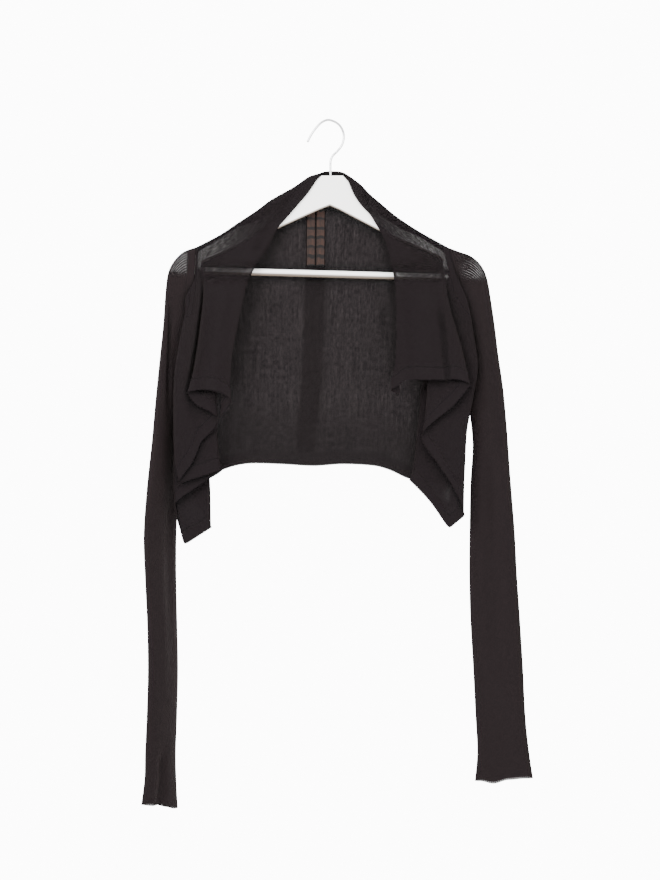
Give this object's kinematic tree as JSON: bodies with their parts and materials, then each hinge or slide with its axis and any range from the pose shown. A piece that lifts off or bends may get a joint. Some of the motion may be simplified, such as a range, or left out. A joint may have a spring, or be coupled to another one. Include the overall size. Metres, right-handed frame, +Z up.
{
  "type": "cropped cardigan on a hanger",
  "caption": "Cropped, semi-sheer knit cardigan with extra-long sleeves and wide draped open fronts, hanging on a white wooden trouser hanger",
  "frame": {"origin": "inside top of the hanger's hook, where a rod, rail or knob carries it", "axes": "+Z up, +X to the right as seen from the front, the garment's front faces -Y"},
  "size_m": [0.6586, 0.0914, 1.1657],
  "materials": {
    "knit": "matte",
    "label_tape": "satin",
    "white_paint": "satin",
    "steel_wire": "polished"
  },
  "bodies": {
    "root": {"back_panel": "knit", "front_left": "knit", "front_right": "knit", "sleeve_left": "knit", "sleeve_right": "knit", "back_strip": "knit", "label_tape_left": "label_tape", "label_tape_right": "label_tape", "hanger_board": "white_paint", "hanger_bar": "white_paint", "hanger_hook": "steel_wire"}
  },
  "joints": []
}
